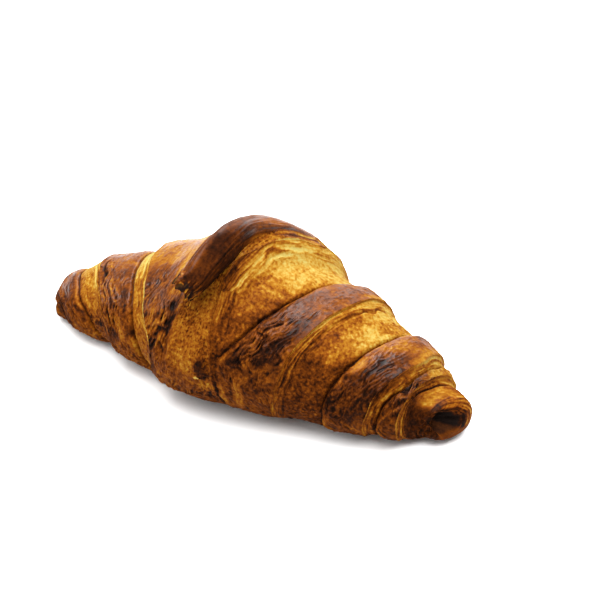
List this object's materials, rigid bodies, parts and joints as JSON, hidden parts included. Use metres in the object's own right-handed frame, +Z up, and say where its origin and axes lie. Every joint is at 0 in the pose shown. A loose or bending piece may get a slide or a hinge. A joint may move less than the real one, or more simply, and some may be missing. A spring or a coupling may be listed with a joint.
{
  "type": "croissant",
  "caption": "Baked croissant: a rolled, layered pastry that tapers to both ends, with stepped wraps, a narrow dough tongue over the top and a flat underside it lies on",
  "frame": {"origin": "middle of the bounding box in X and Y, at the floor the croissant lies on", "axes": "+X along the roll towards its longer half, -Y to the front where the tongue's tip hangs, +Z up"},
  "size_m": [0.1692, 0.077, 0.0699],
  "materials": {
    "crust": "baked egg-washed pastry crust, dark brown and glossy on the wraps, golden and matt on the layered sides"
  },
  "bodies": {
    "root": {"croissant": "crust"}
  },
  "joints": []
}
